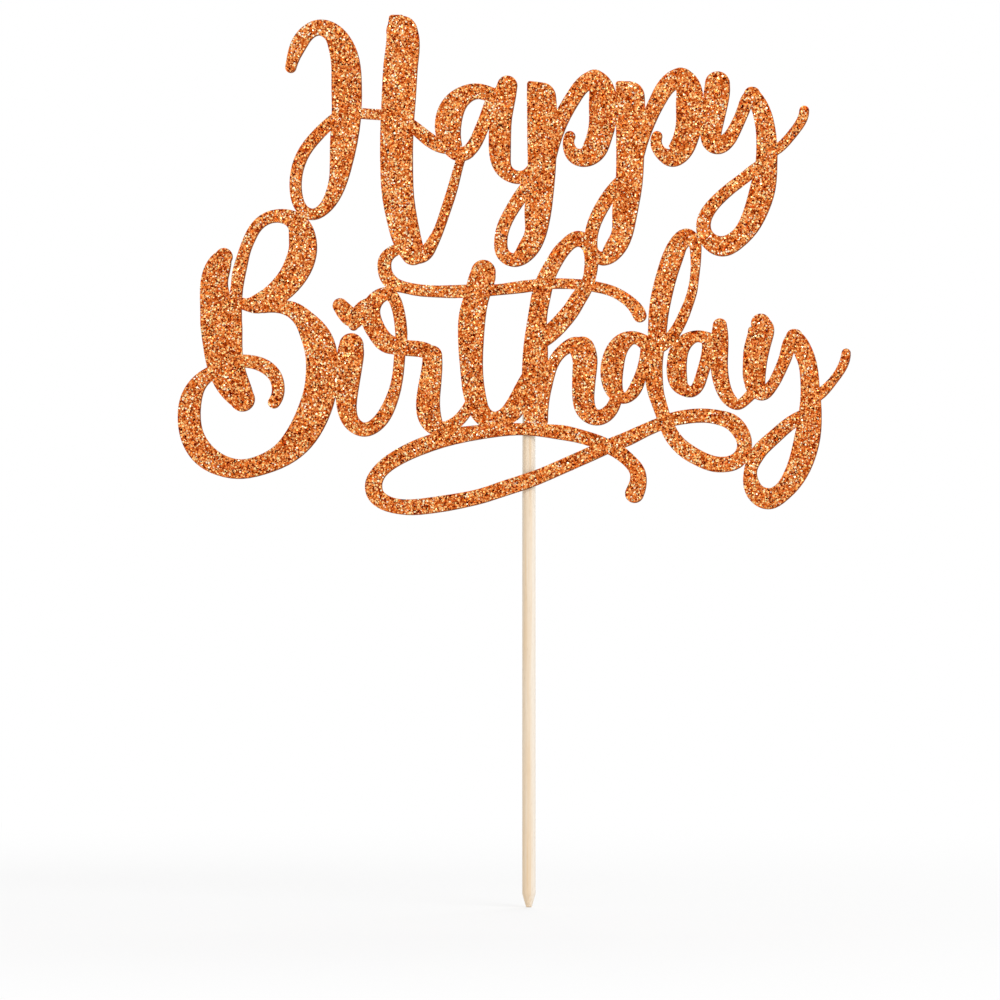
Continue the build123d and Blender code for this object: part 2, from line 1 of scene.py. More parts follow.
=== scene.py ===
import bpy
import json
import numpy as np
from math import cos, pi, radians, sin
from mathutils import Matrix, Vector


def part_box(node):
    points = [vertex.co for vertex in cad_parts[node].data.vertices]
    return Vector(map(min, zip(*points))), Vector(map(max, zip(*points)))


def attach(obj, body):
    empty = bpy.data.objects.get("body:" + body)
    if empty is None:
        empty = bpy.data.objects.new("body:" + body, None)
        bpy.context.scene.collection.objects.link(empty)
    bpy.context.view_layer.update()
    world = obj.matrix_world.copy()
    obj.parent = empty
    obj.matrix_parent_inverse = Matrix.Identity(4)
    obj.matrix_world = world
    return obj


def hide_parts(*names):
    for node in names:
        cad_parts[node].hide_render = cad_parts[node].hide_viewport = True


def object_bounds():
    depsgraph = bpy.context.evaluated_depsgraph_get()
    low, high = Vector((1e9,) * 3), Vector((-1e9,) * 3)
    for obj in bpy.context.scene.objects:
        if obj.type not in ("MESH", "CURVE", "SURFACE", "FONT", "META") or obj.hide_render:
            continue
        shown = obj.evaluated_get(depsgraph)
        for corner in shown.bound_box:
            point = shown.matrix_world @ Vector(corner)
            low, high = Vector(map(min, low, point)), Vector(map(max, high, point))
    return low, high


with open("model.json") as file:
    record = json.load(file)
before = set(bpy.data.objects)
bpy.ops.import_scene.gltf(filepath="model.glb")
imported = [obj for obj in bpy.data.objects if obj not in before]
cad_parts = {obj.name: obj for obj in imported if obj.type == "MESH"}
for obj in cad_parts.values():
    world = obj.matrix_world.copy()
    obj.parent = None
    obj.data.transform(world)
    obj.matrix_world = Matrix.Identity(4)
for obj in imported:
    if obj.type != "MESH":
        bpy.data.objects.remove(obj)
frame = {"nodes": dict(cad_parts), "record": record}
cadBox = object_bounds()
mm = 0.001
white = (1, 1, 1, 1)
print("frame loaded:", ", ".join(sorted(frame["nodes"])))


def linear(red, green, blue):  # a colour as it looks on screen, 0 to 255, in the linear light of a shader
    seen = np.array([red, green, blue]) / 255
    lit = np.where(seen < 0.04045, seen / 12.92, ((seen + 0.055) / 1.055) ** 2.4)
    return (*lit.tolist(), 1.0)


class Wire:  # a shader socket that can stand in Python expressions
    def __init__(self, tree, socket=None):
        self.tree = tree
        self.socket = socket

    def node(self, kind, settings, inputs, output=0):  # any node: first its settings, then its sockets
        made = self.tree.nodes.new(kind)
        for key, value in settings.items():
            if key == "stops":
                for spare in range(len(value) - len(made.color_ramp.elements)):
                    made.color_ramp.elements.new(1.0)
                for stop, (place, colour) in zip(made.color_ramp.elements, value):
                    stop.position = place
                    stop.color = colour
            else:
                setattr(made, key, value)
        for key, value in inputs.items():
            if isinstance(value, Wire):
                self.tree.links.new(value.socket, made.inputs[key])
            else:
                made.inputs[key].default_value = value
        return Wire(self.tree, made.outputs[output])

    def place(self):  # where a point lies on its object
        return self.node("ShaderNodeTexCoord", {}, {}, "Object")

    def along(self, axis):  # one coordinate of a place
        return self.node("ShaderNodeSeparateXYZ", {}, {"Vector": self}, axis)

    def stretched(self, x, y, z):  # a place with its coordinates multiplied
        return self.node("ShaderNodeMapping", {}, {"Vector": self, "Scale": (x, y, z)}, "Vector")

    def vectors(self, operation, other, output="Vector"):
        return self.node("ShaderNodeVectorMath", {"operation": operation}, {0: self, 1: other}, output)

    def noise(self, scale, detail=2.0):  # cloudy noise over a place, about 0.5
        return self.node("ShaderNodeTexNoise", {}, {"Vector": self, "Scale": scale, "Detail": detail}, "Fac")

    def bumped(self, strength, distance):  # the normal of a surface with this height
        inputs = {"Strength": strength, "Distance": distance, "Height": self}
        return self.node("ShaderNodeBump", {}, inputs, "Normal")

    def maths(self, operation, first, second):
        return self.node("ShaderNodeMath", {"operation": operation}, {0: first, 1: second})

    def clamped(self):
        return self.node("ShaderNodeClamp", {}, {"Value": self})

    def mixed(self, first, second):  # this value as the share of the second colour
        return self.node("ShaderNodeMix", {"data_type": "RGBA"}, {0: self, 6: first, 7: second}, 2)

    def __add__(self, other):
        return self.maths("ADD", self, other)

    def __radd__(self, other):
        return self.maths("ADD", other, self)

    def __sub__(self, other):
        return self.maths("SUBTRACT", self, other)

    def __rsub__(self, other):
        return self.maths("SUBTRACT", other, self)

    def __mul__(self, other):
        return self.maths("MULTIPLY", self, other)


def newFinish(name, constants):
    # a material, its shader and a first wire; what is the same all over is set here
    material = bpy.data.materials.new(name)
    material.use_nodes = True
    shader = material.node_tree.nodes["Principled BSDF"]
    for key, value in constants.items():
        shader.inputs[key].default_value = value
    return material, shader, Wire(material.node_tree)


def feed(shader, **wires):  # Base_Color=wire feeds the Base Color socket
    for key, wire in wires.items():
        wire.tree.links.new(wire.socket, shader.inputs[key.replace("_", " ")])


def dress(nodeName, material):  # a CAD node keeps its mesh and takes a new finish
    mesh = frame["nodes"][nodeName].data
    mesh.materials.clear()
    mesh.materials.append(material)


def addPiece(name, mesh, material, smooth=True):
    mesh.materials.append(material)
    mesh.polygons.foreach_set("use_smooth", np.full(len(mesh.polygons), smooth))
    piece = bpy.data.objects.new(name, mesh)
    bpy.context.scene.collection.objects.link(piece)
    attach(piece, "root")
    return piece


# Camera: a long lens, level with the foot of the lettering and almost square to it
shot = dict(
    picture=1000,  # pixels across and down
    pixel=0.22288 * mm,  # what one pixel covers at the sheet
    stickPixel=(528.75, 547.95),  # where the origin falls in the picture
    distance=1500 * mm,
    turn=1.2,  # degrees that it stands to the right
    sensor=36.0,
    farthest=50,
)
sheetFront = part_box("glitter_coat")[0].y
aim = np.array([
    (shot["picture"] / 2 - shot["stickPixel"][0]) * shot["pixel"],
    sheetFront,
    (shot["stickPixel"][1] - shot["picture"] / 2) * shot["pixel"],
])
camera = bpy.data.objects.new("camera", bpy.data.cameras.new("camera"))
bpy.context.scene.collection.objects.link(camera)
turn = radians(shot["turn"])
camera.location = aim + shot["distance"] * np.array([sin(turn), -cos(turn), 0])
camera.rotation_euler = (pi / 2, 0, turn)
camera.data.sensor_width = shot["sensor"]
camera.data.lens = shot["sensor"] * shot["distance"] / (shot["picture"] * shot["pixel"])
camera.data.clip_end = shot["farthest"]
bpy.context.scene.camera = camera
print("camera set, lens", round(camera.data.lens), "mm")


# Light: a white room, a key lamp at the upper right, a weaker fill at the left and one behind
room = dict(
    level=0.55,  # how brightly the room lights things
    floorSize=6.0,
    floorGrey=0.92,
    floorShare=0.55,  # how far the floor is plain white at the stick
    shadowReach=(0.05, 0.40),  # metres from the stick between which it turns all white
)
lamps = dict(
    key=dict(place=(0.85, -1.05, 0.85), size=1.0, watts=12.0),
    fill=dict(place=(-0.95, -1.15, 0.55), size=1.0, watts=3.5),
    back=dict(place=(0.3, 1.2, 0.8), size=1.0, watts=8.0),
)


def seenRays(wire):  # 1 for rays from the camera, mirrors and glass, 0 for the rays that light things
    seen = [wire.node("ShaderNodeLightPath", {}, {}, ray) for ray in
            ("Is Camera Ray", "Is Glossy Ray", "Is Transmission Ray")]
    return (seen[0] + seen[1] + seen[2]).clamped()


def lightRoom():
    scene = bpy.context.scene
    scene.view_settings.view_transform = "Standard"
    world = bpy.data.worlds.new("room")
    scene.world = world
    world.use_nodes = True
    background = world.node_tree.nodes["Background"]
    background.inputs["Color"].default_value = white
    strength = seenRays(Wire(world.node_tree)) * (1 - room["level"]) + room["level"]
    world.node_tree.links.new(strength.socket, background.inputs["Strength"])
    middle = (cadBox[0] + cadBox[1]) / 2
    for name, lamp in lamps.items():
        light = bpy.data.lights.new(name, "AREA")
        light.energy = lamp["watts"]
        light.size = lamp["size"]
        holder = bpy.data.objects.new(name, light)
        scene.collection.objects.link(holder)
        holder.location = lamp["place"]
        holder.rotation_euler = (middle - holder.location).to_track_quat("-Z", "Y").to_euler()


def layFloor():
    half = room["floorSize"] / 2
    level = cadBox[0].z
    mesh = bpy.data.meshes.new("floor")
    corners = [(-half, -half, level), (half, -half, level), (half, half, level), (-half, half, level)]
    mesh.from_pydata(corners, [], [(0, 1, 2, 3)])
    material = bpy.data.materials.new("paleFloor")
    material.use_nodes = True
    tree = material.node_tree
    tree.nodes.clear()
    wire = Wire(tree)
    grey = room["floorGrey"]
    matt = wire.node("ShaderNodeBsdfDiffuse", {}, {"Color": (grey, grey, grey, 1)})
    plain = wire.node("ShaderNodeEmission", {}, {"Color": white, "Strength": 1.0})
    # away from the object the floor turns plain white, by the distance from the stick
    flat = wire.place().vectors("MULTIPLY", (1, 1, 0))
    far = wire.node("ShaderNodeVectorMath", {"operation": "LENGTH"}, {0: flat}, "Value")
    near, end = room["shadowReach"]
    fade = wire.node("ShaderNodeMapRange", {"interpolation_type": "SMOOTHSTEP"}, {
        "Value": far, "From Min": near, "From Max": end, "To Min": room["floorShare"], "To Max": 1.0,
    })
    both = wire.node("ShaderNodeMixShader", {}, {0: seenRays(wire) * fade, 1: matt, 2: plain})
    output = tree.nodes.new("ShaderNodeOutputMaterial")
    tree.links.new(both.socket, output.inputs["Surface"])
    mesh.materials.append(material)
    floor = bpy.data.objects.new("floor", mesh)
    bpy.context.scene.collection.objects.link(floor)


lightRoom()
layFloor()
print("room lit")


# Sheet: its front, its rim, and a band of painted shade along the rim, which is seen at the right and lower
# sides
cut = dict(
    facing=(1.0, -1.0),  # right and down
    darkEdgeAndShade=0.22,  # mm that the painted shade reaches in over the front
    flare=0.04,  # mm that the cut runs out from front to back
    rise=0.02,  # mm that the band of painted shade stands up
    shoulder=0.9,  # share of the band's width at which it stands up in full
    lip=(0.5, 0.7),  # at the front edge of the cut, shares of the flare and of the rise
    inset=0.01,  # mm that it is sunk in the front and stops short of the back
    inside=0.02,  # mm that it reaches in at the back
    least=0.02,  # share of the full width at which the band of painted shade ends
    hair=0.001,  # mm within which a point counts as in the front
    decimals=4,  # points whose places in mm agree to so many are one
    sharpness=1e5,  # how sharply the finish of a face gives way to that of its cut edge
)


def frontOfSheet():  # corners of the front triangles, and the ends of the edges that only one of them has
    mesh = frame["nodes"]["glitter_coat"].data
    points = np.empty(len(mesh.vertices) * 3)
    mesh.vertices.foreach_get("co", points)
    points = points.reshape(-1, 3)
    corners = np.empty(len(mesh.loops), int)
    mesh.loops.foreach_get("vertex_index", corners)
    triangles = corners.reshape(-1, 3)
    triangles = triangles[(points[triangles, 1] < sheetFront + cut["hair"] * mm).all(axis=1)]
    flat = np.round(points[:, [0, 2]] / mm, cut["decimals"])
    merged = np.unique(flat, axis=0, return_inverse=True)[1].reshape(-1)
    edges = np.concatenate([triangles[:, [0, 1]], triangles[:, [1, 2]], triangles[:, [2, 0]]])
    keys = np.sort(merged[edges], axis=1)
    first, uses = np.unique(keys, axis=0, return_index=True, return_counts=True)[1:]
    return points[triangles], points[edges[first[uses == 1]]]


frontTriangles, frontRim = frontOfSheet()


def rimCorners():
    # the rim's corner points in mm, the edges between them, and at each point the way out of the sheet
    flat = np.round(frontRim[:, :, [0, 2]].reshape(-1, 2) / mm, cut["decimals"])
    corners, ends = np.unique(flat, axis=0, return_inverse=True)
    begin, end = ends.reshape(-1, 2).T
    ahead = corners[end] - corners[begin]
    outward = np.zeros_like(corners)
    for side in (begin, end):
        np.add.at(outward, side, np.stack([ahead[:, 1], -ahead[:, 0]], axis=1))
    outward /= np.linalg.norm(outward, axis=1)[:, None] + 1e-9
    # how far the rim faces right and down, from 0 to 1; a smooth step of it gives the painted shade's width
    facing = (outward @ np.array(cut["facing"]) / np.linalg.norm(cut["facing"])).clip(0, 1)
    return corners, begin, end, outward, cut["darkEdgeAndShade"] * facing * facing * (3 - 2 * facing)


rim, rimBegin, rimEnd, rimOut, rimShadeWidth = rimCorners()
print("rim found,", len(rim), "corner points")


# Glitter: a coat of binder full of small grains, and on it loose flakes of two sizes, each a tilted hexagon
glitter = dict(
    # painted light: the tones run from near black, painted shade, to cream, painted glints; the orange
    # between differs at random
    tones=[  # share of the flakes up to this tone, and its colour on screen
        (0.00, (34, 0, 0)), (0.07, (98, 13, 0)), (0.25, (174, 57, 0)), (0.50, (221, 112, 37)),
        (0.75, (255, 167, 93)), (0.92, (255, 225, 154)), (1.00, (255, 252, 232)),
    ],
    grain=0.34 * mm,
    shadedGrainTones=0.8,  # painted shade: the coat's grains leave out the palest tones, darker as if in shadow between the flakes
    grainLean=0.8,
    darkEdgeAndShade=((58, 24, 10), (120, 56, 24)),  # darkest and palest on the coat's cut edge
    darkEdgeScale=2500.0,
    coatRoughness=(0.25, 0.3),  # the least, and how much a grain or flake can add to it
    flakeRoughness=(0.16, 0.3),
    coarse=dict(perArea=7.0, radius=(0.18, 0.25), tilt=11.0, lift=(0.03, 0.10), seed=11),
    fine=dict(perArea=8.1, radius=(0.122, 0.18), tilt=18.0, lift=(0.01, 0.07), seed=12),
    patchSizes=((9.0, 0.01), (3.5, 0.03)),  # lighter and darker patches: how wide in mm, how strong
    edgeCell=0.05 * mm,  # of the grid that gives the distance from the rim
    edgeMarks=(24, 5),  # marks on it along each stretch of the rim, and across the band of painted shade
    overlap=0.07,  # mm that flakes reach over the band of painted shade
    smallest=0.05 * mm,
    chartEdge=0.006,  # room at the edge of the flakes' map
    chartRadius=0.004,  # of a flake on that map
)
glitterStops = [(place, linear(*colour)) for place, colour in glitter["tones"]]


def coatFinish():
    material, shader, wire = newFinish("glitterCoat", {"Metallic": 0.7, "Specular IOR Level": 0.25})
    place = wire.place()
    cellInputs = {"Vector": place, "Scale": 1 / glitter["grain"], "Randomness": 1.0}
    cellColour = wire.node("ShaderNodeTexVoronoi", {}, cellInputs, "Color")
    cellMiddle = wire.node("ShaderNodeTexVoronoi", {}, cellInputs, "Position")
    # painted shade: the grains' tones are cut down, as if the coat lay in shadow between the flakes
    tone = wire.node("ShaderNodeSeparateColor", {}, {"Color": cellColour}, "Red") * glitter["shadedGrainTones"]
    dull = wire.node("ShaderNodeSeparateColor", {}, {"Color": cellColour}, "Green")
    colour = wire.node("ShaderNodeValToRGB", {"stops": glitterStops}, {"Fac": tone}, "Color")
    # each grain leans its own way: its height is the offset from its middle along a direction of its own
    lean = cellColour.vectors("SUBTRACT", (0.5, 0.5, 0.5))
    height = place.vectors("SUBTRACT", cellMiddle).vectors("DOT_PRODUCT", lean, "Value")
    normal = height.bumped(glitter["grainLean"], 1.0)
    # the cut edge, behind the front face, is dark brown binder
    behind = ((place.along("Y") - (sheetFront + cut["inset"] * mm)) * cut["sharpness"]).clamped()
    dark, pale = glitter["darkEdgeAndShade"]
    edgeColour = place.noise(glitter["darkEdgeScale"]).mixed(linear(*dark), linear(*pale))
    least, more = glitter["coatRoughness"]
    feed(shader, Base_Color=behind.mixed(colour, edgeColour), Roughness=least + dull * more, Normal=normal)
    return material


def flakeFinish():
    # the flake's place on its map is its tone across and its dullness up, so both are even over each flake
    material, shader, wire = newFinish("glitterFlake", {"Metallic": 1.0})
    chart = wire.node("ShaderNodeUVMap", {"uv_map": "OFBake"}, {}, "UV")
    colour = wire.node("ShaderNodeValToRGB", {"stops": glitterStops}, {"Fac": chart.along("X")}, "Color")
    least, more = glitter["flakeRoughness"]
    feed(shader, Base_Color=colour, Roughness=least + chart.along("Y") * more)
    return material


def rimDistance(spots):
    # how far each spot is from the rim in mm: the rim and its band of painted shade are marked on a grid, and
    # the marks are spread one cell at a time
    cell = glitter["edgeCell"] / mm
    count = int(glitter["coarse"]["radius"][1] / cell) + 2
    low = rim.min(axis=0) - (count + 1) * cell
    size = ((rim.max(axis=0) - low) / cell).astype(int) + count + 2
    marksAlong, marksAcross = glitter["edgeMarks"]
    along = np.linspace(0, 1, marksAlong)[:, None, None]
    near = np.zeros(size, bool)
    for share in np.linspace(0, 1, marksAcross):
        inner = rim - rimOut * (share * np.maximum(rimShadeWidth - glitter["overlap"], 0))[:, None]
        marks = inner[rimBegin] * (1 - along) + inner[rimEnd] * along
        marks = ((marks.reshape(-1, 2) - low) / cell).astype(int)
        near[marks[:, 0], marks[:, 1]] = True
    steps = np.full(size, count)
    for step in range(count):
        steps[near & (steps > step)] = step
        sideways = near | np.roll(near, 1, 0) | np.roll(near, -1, 0)
        upright = sideways if step % 2 else near  # every second step spreads to the corners too
        near = sideways | np.roll(upright, 1, 1) | np.roll(upright, -1, 1)
    at = ((spots[:, [0, 2]] / mm - low) / cell).astype(int)
    return (steps[at[:, 0], at[:, 1]] - 0.5) * cell


def patchiness(spots, generator):
    # soft patches: random values on a coarse grid, blended between its corners with a smooth step; the sizes
    # of patch are added up
    total = np.zeros(len(spots))
    for width, strength in glitter["patchSizes"]:
        at = (spots[:, [0, 2]] - spots[:, [0, 2]].min(axis=0)) / (width * mm)
        corner = at.astype(int)
        blend = at - corner
        blend = blend * blend * (3 - 2 * blend)
        values = generator.normal(size=corner.max(axis=0) + 2)
        left, low = corner.T
        lower = values[left, low] * (1 - blend[:, 0]) + values[left + 1, low] * blend[:, 0]
        upper = values[left, low + 1] * (1 - blend[:, 0]) + values[left + 1, low + 1] * blend[:, 0]
        total += strength * (lower * (1 - blend[:, 1]) + upper * blend[:, 1])
    return total


def scatterFlakes(name, kind, material):
    generator = np.random.default_rng(kind["seed"])
    # spots spread evenly over the front: a triangle by its share of the area, then a place in it
    corner = frontTriangles
    areas = np.linalg.norm(np.cross(corner[:, 1] - corner[:, 0], corner[:, 2] - corner[:, 0]), axis=1) / 2
    count = int(kind["perArea"] * areas.sum() / mm ** 2)
    shares = np.cumsum(areas) / areas.sum()
    chosen = np.searchsorted(shares, generator.random(count)).clip(0, len(areas) - 1)
    first, second = generator.random((2, count, 1))
    folded = first + second > 1
    first, second = np.where(folded, 1 - first, first), np.where(folded, 1 - second, second)
    corner = frontTriangles[chosen]
    spots = corner[:, 0] + first * (corner[:, 1] - corner[:, 0]) + second * (corner[:, 2] - corner[:, 0])
    # the flake's own size, cut down near the rim
    radius = np.minimum(generator.uniform(*kind["radius"], count), rimDistance(spots)) * mm
    kept = radius > glitter["smallest"]
    spots, radius, count = spots[kept], radius[kept], int(kept.sum())
    spots[:, 1] -= generator.uniform(*kind["lift"], count) * mm
    # a hexagon spun about its own normal, which leans from the sheet's by a normally spread angle
    lean = radians(kind["tilt"]) * generator.normal(size=count)
    way, spin = generator.uniform(0, 2 * pi, (2, count))
    normal = np.stack([np.sin(lean) * np.cos(way), -np.cos(lean), np.sin(lean) * np.sin(way)], axis=1)
    across = np.cross(normal, (0, 0, 1))
    across /= np.linalg.norm(across, axis=1)[:, None]
    up = np.cross(normal, across)
    angles = spin[:, None] + np.arange(6) * pi / 3
    reach = np.cos(angles)[..., None] * across[:, None] + np.sin(angles)[..., None] * up[:, None]
    points = spots[:, None] + radius[:, None, None] * reach
    # tones keep their set shares, with the soft patches mixed in
    order = np.argsort(np.argsort(generator.random(count) + patchiness(spots, generator)))
    edge = glitter["chartEdge"]
    tone = edge + (1 - 2 * edge) * (order + 0.5) / count
    chart = np.stack([tone, generator.uniform(edge, 1 - edge, count)], axis=1)[:, None]
    chart = chart + glitter["chartRadius"] * np.stack([np.cos(angles), np.sin(angles)], axis=2)
    mesh = bpy.data.meshes.new(name)
    mesh.vertices.add(count * 6)
    mesh.vertices.foreach_set("co", points.ravel())
    mesh.loops.add(count * 6)
    mesh.loops.foreach_set("vertex_index", np.arange(count * 6))
    mesh.polygons.add(count)
    mesh.polygons.foreach_set("loop_start", np.arange(count) * 6)
    mesh.uv_layers.new(name="OFBake").uv.foreach_set("vector", chart.ravel())
    mesh.update(calc_edges=True)
    addPiece(name, mesh, material, smooth=False)
    print(name, count, "flakes")


dress("glitter_coat", coatFinish())
flakeMaterial = flakeFinish()
scatterFlakes("glitterFlakesCoarse", glitter["coarse"], flakeMaterial)
scatterFlakes("glitterFlakesFine", glitter["fine"], flakeMaterial)


# Card: pale uncoated board with a brown cut edge, and a band of painted shade along its right and lower rims
card = dict(
    face=(238, 233, 222),
    fibre=(214, 205, 190),
    edge=(96, 58, 34),  # darkest and palest plies of the cut edge
    core=(150, 108, 72),
    darkEdgeAndShade=(94, 44, 15),  # darkest and palest plies of the painted shade on the right and lower rims
    shadePale=(162, 90, 42),
    cloudScale=260.0,
    fibreScale=5200.0,
    fibreStretch=0.22,
    fibreDepth=0.03 * mm,
    plyScale=2400.0,
    plyStretch=(0.3, 6.0, 0.3),
)


def cutPlies(place):  # the thin layers that show in a cut edge
    return place.stretched(*card["plyStretch"]).noise(card["plyScale"], 3.0)


def cardFinish():
    material, shader, wire = newFinish("paleCard", {"IOR": 1.45, "Specular IOR Level": 0.3})
    place = wire.place()
    cloudy = place.noise(card["cloudScale"], 4.0)
    fibres = place.stretched(1.0, 1.0, card["fibreStretch"]).noise(card["fibreScale"], 3.0)
    face = ((cloudy - 0.35) * 0.5 + (fibres - 0.4) * 0.9).clamped()
    faceColour = face.mixed(linear(*card["face"]), linear(*card["fibre"]))
    # the cut edge lies in front of the back face
    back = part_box("card_sheet")[1].y
    side = (((back - cut["inset"] * mm) - place.along("Y")) * cut["sharpness"]).clamped()
    edgeColour = cutPlies(place).mixed(linear(*card["edge"]), linear(*card["core"]))
    feed(shader, Base_Color=side.mixed(faceColour, edgeColour), Roughness=0.72 + fibres * 0.2,
         Normal=fibres.bumped(0.35, card["fibreDepth"]))
    return material


# painted shade: the dark brown finish of the band along the right and lower rims
def shadeEdgeFinish():
    material, shader, wire = newFinish("paintedShadeEdge", {"IOR": 1.45, "Specular IOR Level": 0.2})
    plies = cutPlies(wire.place())
    colour = ((plies - 0.3) * 2.5).clamped().mixed(linear(*card["darkEdgeAndShade"]), linear(*card["shadePale"]))
    feed(shader, Base_Color=colour, Roughness=0.7 + plies * 0.2)
    return material


def paintedShadeBandMesh():
    # a five-sided section along the right and lower rims that carries the painted shade: over the front by
    # the shade's width, down the cut to the back with a slight flare, and closed inside the card; it grows
    # with the shade's width, and its ends are capped
    front = sheetFront / mm
    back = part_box("card_sheet")[1].y / mm - cut["inset"]
    strength = rimShadeWidth / cut["darkEdgeAndShade"]
    none = np.zeros(len(rim))
    lipOut, lipRise = cut["lip"]
    section = [  # how far out of the sheet, and the depth
        (-rimShadeWidth, none + front + cut["inset"]),
        (-cut["shoulder"] * rimShadeWidth, front + cut["inset"] - (cut["inset"] + cut["rise"]) * strength),
        (lipOut * cut["flare"] * strength,
         front + cut["inset"] - (cut["inset"] + lipRise * cut["rise"]) * strength),
        (cut["flare"] * strength, none + back),
        (-cut["inside"] * strength, none + back),
    ]
    rows = [np.insert(rim + rimOut * out[:, None], 1, deep, axis=1) for out, deep in section]
    shown = np.minimum(strength[rimBegin], strength[rimEnd]) > cut["least"]
    begin, end = rimBegin[shown], rimEnd[shown]
    used, ends = np.unique(np.concatenate([begin, end]), return_inverse=True)
    begin, end = ends.reshape(2, -1)
    count, sides = len(used), len(rows)
    first, last = np.setdiff1d(begin, end), np.setdiff1d(end, begin)
    quads = []
    for row in range(sides):
        low, high = row * count, (row + 1) % sides * count
        quads += np.stack([begin + low, begin + high, end + high, end + low], axis=1).tolist()
    levels = np.arange(sides) * count
    caps = (first[:, None] + levels[::-1]).tolist() + (last[:, None] + levels).tolist()
    mesh = bpy.data.meshes.new("paintedShadeBand")
    mesh.from_pydata((np.concatenate([row[used] for row in rows]) * mm).tolist(), [], quads + caps)
    return mesh


dress("card_sheet", cardFinish())
# the band along the right and lower rims, a dark finish of painted shade
addPiece("paintedShadeBand", paintedShadeBandMesh(), shadeEdgeFinish(), smooth=False)
print("card dressed")


def tubeMesh(name, rings):
    # rings of points in order along the piece; an end is closed with a point in the middle of its ring
    count, around = rings.shape[:2]
    points = np.concatenate([rings.reshape(-1, 3), rings[[0, -1]].mean(axis=1)])
    row, step = np.meshgrid(np.arange(count - 1), np.arange(around), indexing="ij")
    after = (step + 1) % around
    quads = np.stack([row * around + step, row * around + after,
                      (row + 1) * around + after, (row + 1) * around + step], axis=2).reshape(-1, 4)
    step, after = step[0], after[0]
    first = np.stack([np.full(around, count * around), after, step], axis=1)
    last = (count - 1) * around
    second = np.stack([np.full(around, count * around + 1), last + step, last + after], axis=1)
    mesh = bpy.data.meshes.new(name)
    mesh.from_pydata(points.tolist(), [], quads.tolist() + first.tolist() + second.tolist())
    return mesh


def waviness(generator, along, angle, kinds, drift):
    # a sum of sine waves round a piece, from -1 to 1, each with its own shift and its own drift along it
    total = np.zeros((len(along), len(angle)))
    for waves in kinds:
        shift, slant = generator.uniform(0, 2 * pi), generator.uniform(-drift, drift)
        total += np.sin(waves * angle + shift + slant * along[:, None]) / len(kinds)
    return total


# Stick: a turned dowel of pale wood, with a sanded point and a flat where the card is glued on
wood = dict(
    pointRadius=0.6 * mm,
    pointLength=3.0 * mm,
    pointCurve=0.9,
    tipRadius=0.75,  # share of the point's radius at the very tip
    tipRise=0.02,  # share of the point's length over which the tip is rounded
    taper=0.1 * mm,  # off the radius at the top
    edgeRound=0.18 * mm,
    pointSteps=10,
    freeSteps=120,
    gluedSteps=50,
    roundSteps=6,
    around=72,
    ripple=0.012 * mm,
    rippleWaves=(5, 9, 14, 21),
    rippleDrift=25,
    seed=5,
    pale=(238, 227, 211),
    tan=(226, 195, 155),
    pore=(190, 154, 114),
    grainStretch=0.018,
    broadScale=900.0,
    fineScale=4200.0,
    poreStretch=0.06,
    poreScale=6500.0,
    grainDepth=0.03 * mm,
    shadedSideMiddle=-0.45 * mm,  # painted light and shade: warmest left of the middle, away from the key lamp, paler at the lit right side
    shadedSideReach=1.3 * mm,
)


def freeStretch():  # the heights where the stick's free round stretch starts and ends
    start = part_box("stick")[0].z + wood["pointLength"]
    return start, start + frame["record"]["mounts"][0]["dims"]["length_mm"] * mm


def stickRadius(heights):  # even up to the end of the free stretch, then a slight taper to the top
    low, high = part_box("stick")
    clear = freeStretch()[1]
    return (high.x - low.x) / 2 - wood["taper"] * ((heights - clear) / (high.z - clear)).clip(0, 1)


def stickMesh():
    # radius by height: a rounded tip, a point that swells to the full radius, the free stretch, the taper and
    # a rounded top edge; a faint ripple round the stick follows the grain
    low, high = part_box("stick")
    full = (high.x - low.x) / 2
    topRadius = full - wood["taper"]
    pointTop, clear = freeStretch()
    bend = np.linspace(0, pi / 2, wood["roundSteps"])[1:]
    point = np.linspace(0, 1, wood["pointSteps"])
    shoulder = high.z - wood["edgeRound"]
    heights = np.concatenate([
        [low.z],
        low.z + wood["pointLength"] * (wood["tipRise"] + (1 - wood["tipRise"]) * point),
        np.linspace(pointTop, clear, wood["freeSteps"])[1:],
        np.linspace(clear, shoulder, wood["gluedSteps"])[1:],
        shoulder + wood["edgeRound"] * np.sin(bend),
    ])
    radii = np.concatenate([
        [wood["pointRadius"] * wood["tipRadius"]],
        wood["pointRadius"] + (full - wood["pointRadius"]) * point ** wood["pointCurve"],
        np.full(wood["freeSteps"] - 1, full),
        np.linspace(full, topRadius, wood["gluedSteps"])[1:],
        topRadius - wood["edgeRound"] * (1 - np.cos(bend)),
    ])
    angle = np.linspace(0, 2 * pi, wood["around"], endpoint=False)
    generator = np.random.default_rng(wood["seed"])
    ripple = waviness(generator, heights, angle, wood["rippleWaves"], wood["rippleDrift"])
    reach = radii[:, None] - wood["ripple"] * (1 + ripple) / 2
    across = reach * np.cos(angle)
    deep = reach * np.sin(angle)
    glued = heights[:, None] > clear
    deep = np.where(glued, np.maximum(deep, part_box("card_sheet")[1].y), deep)
    heights = np.broadcast_to(heights[:, None], deep.shape)
    return tubeMesh("woodStick", np.stack([across, deep, heights], axis=2))


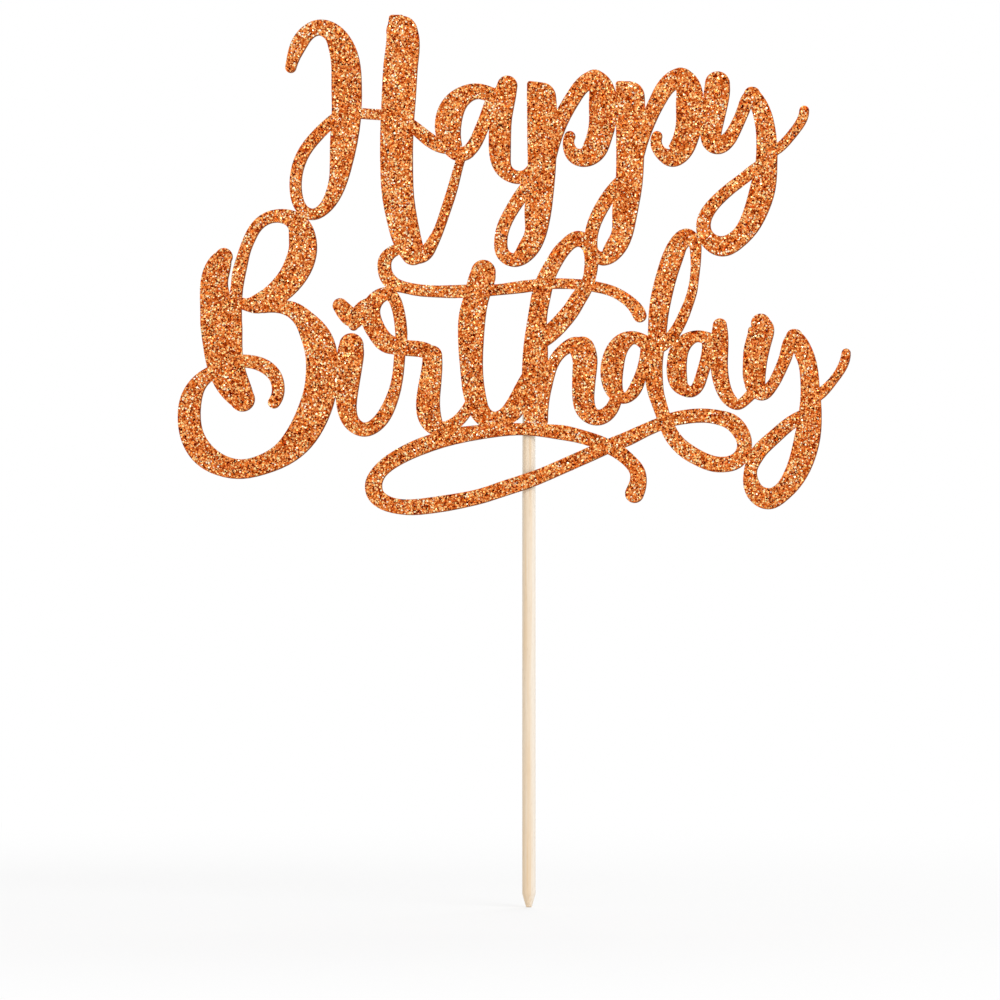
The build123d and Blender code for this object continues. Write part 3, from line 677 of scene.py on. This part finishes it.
def woodFinish():
    material, shader, wire = newFinish("paleWood", {"IOR": 1.48, "Specular IOR Level": 0.35})
    place = wire.place()
    long = place.stretched(1.0, 1.0, wood["grainStretch"])
    broad = long.noise(wood["broadScale"], 3.0)
    fine = long.noise(wood["fineScale"], 4.0)
    flecks = place.stretched(1.0, 1.0, wood["poreStretch"]).noise(wood["poreScale"])
    # painted light and shade: warmest at its middle, falling with the square of the distance, so the lit
    # right side is paler
    off = (place.along("X") - wood["shadedSideMiddle"]) * (1 / wood["shadedSideReach"])
    grain = ((broad - 0.42) * 1.3 + (fine - 0.5) * 0.9 + (0.55 - off * off * 0.5)).clamped()
    pores = ((flecks - 0.64) * 7.0).clamped()
    grainLightAndShadeColour = grain.mixed(linear(*wood["pale"]), linear(*wood["tan"]))
    feed(shader, Base_Color=(pores * 0.55).mixed(grainLightAndShadeColour, linear(*wood["pore"])),
         Roughness=0.5 + fine * 0.25, Normal=(fine * 0.5 - pores * 0.8).bumped(0.5, wood["grainDepth"]))
    return material


stick = addPiece("woodStick", stickMesh(), woodFinish())
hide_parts("stick")
print("stick turned")


# Glue: three drops that cover the stick with a film and run out onto the card at both sides
glue = dict(
    rings=30,
    around=72,
    film=0.42,  # mm
    foot=1.45,  # mm that the bulges at the card add
    footWay=38.0,  # degrees from straight sideways towards the card
    footSpread=34.0,
    sunk=0.03 * mm,  # into the stick
    lump=0.45,
    lumpWaves=(1, 2, 3, 5),
    lumpDrift=2,
    waver=0.35,
    firstSeed=20,
    milk=(236, 230, 214),
    clear=(214, 200, 172),
    cloudScale=700.0,
    skinScale=2600.0,
    skinDepth=0.05 * mm,
)


def glueMesh(name, seed):
    # distance from the stick's axis by angle: the stick, plus a film, plus two bulges towards the card; film
    # and bulges fade to nought at the ends like half a circle, and what would go into the card is flat on it
    low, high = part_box(name)
    generator = np.random.default_rng(seed + glue["firstSeed"])
    along = np.sin(np.linspace(-pi / 2, pi / 2, glue["rings"]))
    angle = np.linspace(0, 2 * pi, glue["around"], endpoint=False)
    lumps = waviness(generator, along, angle, glue["lumpWaves"], glue["lumpDrift"])
    swell = np.sqrt(1 - along ** 2)[:, None] * (1 - glue["lump"] * (0.5 + 0.5 * lumps))
    left = (angle - radians(180 + glue["footWay"])) / radians(glue["footSpread"])
    right = (angle - radians(360 - glue["footWay"])) / radians(glue["footSpread"])
    bulge = glue["film"] + glue["foot"] * (np.exp(-left ** 2) + np.exp(-right ** 2))
    middle = (low.z + high.z) / 2
    heights = middle + along * (high.z - low.z) / 2
    reach = stickRadius(heights)[:, None] - glue["sunk"] + swell * bulge * mm
    across = reach * np.cos(angle)
    across *= min(1, (high.x - low.x) / 2 / np.abs(across).max())
    deep = reach * np.sin(angle)
    deep = np.maximum(deep * min(1, high.y / deep.max()), low.y)
    # the drop's outline wavers: by angle, its ends are drawn in by 0 to 35 hundredths of its height
    waver = 1 - glue["waver"] * (0.5 + 0.5 * np.sin(angle * 3 + seed * 2) * np.cos(angle + seed))
    heights = middle + (heights - middle)[:, None] * waver
    return tubeMesh(name + "Dab", np.stack([across, deep, heights], axis=2))


def glueFinish():
    material, shader, wire = newFinish("milkyGlue", {
        "Subsurface Weight": 0.45, "Subsurface Radius": (0.9, 0.8, 0.6), "Subsurface Scale": 0.0012,
        "IOR": 1.48, "Coat Weight": 0.4,
    })
    place = wire.place()
    cloud = place.noise(glue["cloudScale"], 3.0)
    colour = ((cloud - 0.3) * 1.6).clamped().mixed(linear(*glue["milk"]), linear(*glue["clear"]))
    normal = place.noise(glue["skinScale"]).bumped(0.25, glue["skinDepth"])
    feed(shader, Base_Color=colour, Roughness=0.08 + cloud * 0.14, Normal=normal)
    return material


glueMaterial = glueFinish()
for seed, name in enumerate(("upper_glue", "middle_glue", "lower_glue")):
    dab = addPiece(name + "Dab", glueMesh(name, seed), glueMaterial)
    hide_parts(name)
print("glue set")


bpy.context.view_layer.update()
